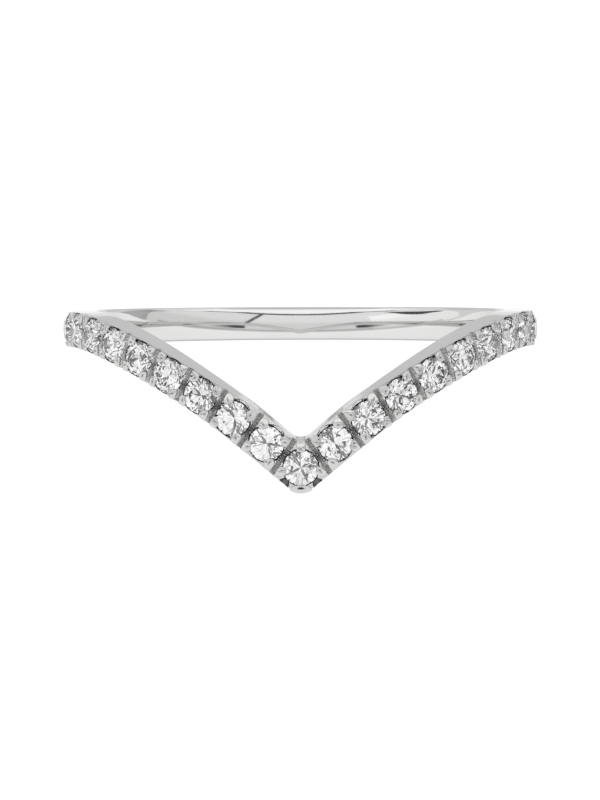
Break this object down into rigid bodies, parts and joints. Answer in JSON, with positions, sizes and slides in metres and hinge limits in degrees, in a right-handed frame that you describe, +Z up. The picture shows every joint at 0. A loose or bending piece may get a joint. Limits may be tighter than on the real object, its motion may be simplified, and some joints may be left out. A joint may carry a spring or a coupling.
{
  "type": "chevron ring",
  "caption": "Slim polished metal ring that runs level round the back and dips to a soft point at the front, set with one row of small round brilliants held by claws.",
  "frame": {"origin": "centre of the ring's box, on the surface that the ring lies on", "axes": "+Z up from that surface, -Y towards the point of the chevron, +X to the right of someone who looks at the point"},
  "size_m": [0.0202, 0.0212, 0.0055],
  "materials": {
    "white_metal": "mirror polish",
    "diamond": "cut and polished"
  },
  "bodies": {
    "root": {"band": "white_metal", "stone_center": "diamond", "stone_left_1": "diamond", "stone_left_2": "diamond", "stone_left_3": "diamond", "stone_left_4": "diamond", "stone_left_5": "diamond", "stone_left_6": "diamond", "stone_left_7": "diamond", "stone_left_8": "diamond", "stone_left_9": "diamond", "stone_right_1": "diamond", "stone_right_2": "diamond", "stone_right_3": "diamond", "stone_right_4": "diamond", "stone_right_5": "diamond", "stone_right_6": "diamond", "stone_right_7": "diamond", "stone_right_8": "diamond", "stone_right_9": "diamond"}
  },
  "joints": []
}
